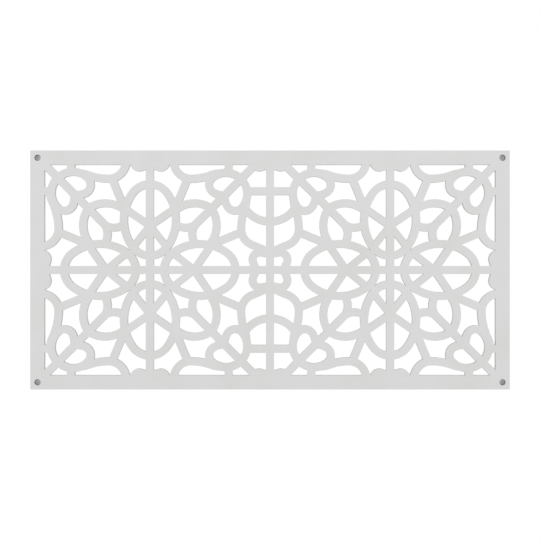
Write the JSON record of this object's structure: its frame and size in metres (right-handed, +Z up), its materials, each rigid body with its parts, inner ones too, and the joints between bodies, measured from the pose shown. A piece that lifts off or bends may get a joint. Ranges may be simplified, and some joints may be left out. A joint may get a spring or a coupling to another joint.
{
  "type": "fretwork screen panel",
  "caption": "Flat rectangular white panel cut through with a repeating pattern of petals, leaves and crossing ribs, with a plain border and a screw recessed in each corner.",
  "frame": {"origin": "centre of the back face", "axes": "+X to the right as seen from the front, +Y out of the back face towards the wall or frame that holds the panel, +Z up"},
  "size_m": [1.2, 0.045, 0.598],
  "materials": {
    "white_sheet": "satin",
    "screw_steel": "zinc plated"
  },
  "bodies": {
    "root": {"fretwork_panel": "white_sheet", "screw_top_left": "screw_steel", "screw_top_right": "screw_steel", "screw_bottom_left": "screw_steel", "screw_bottom_right": "screw_steel"}
  },
  "joints": []
}
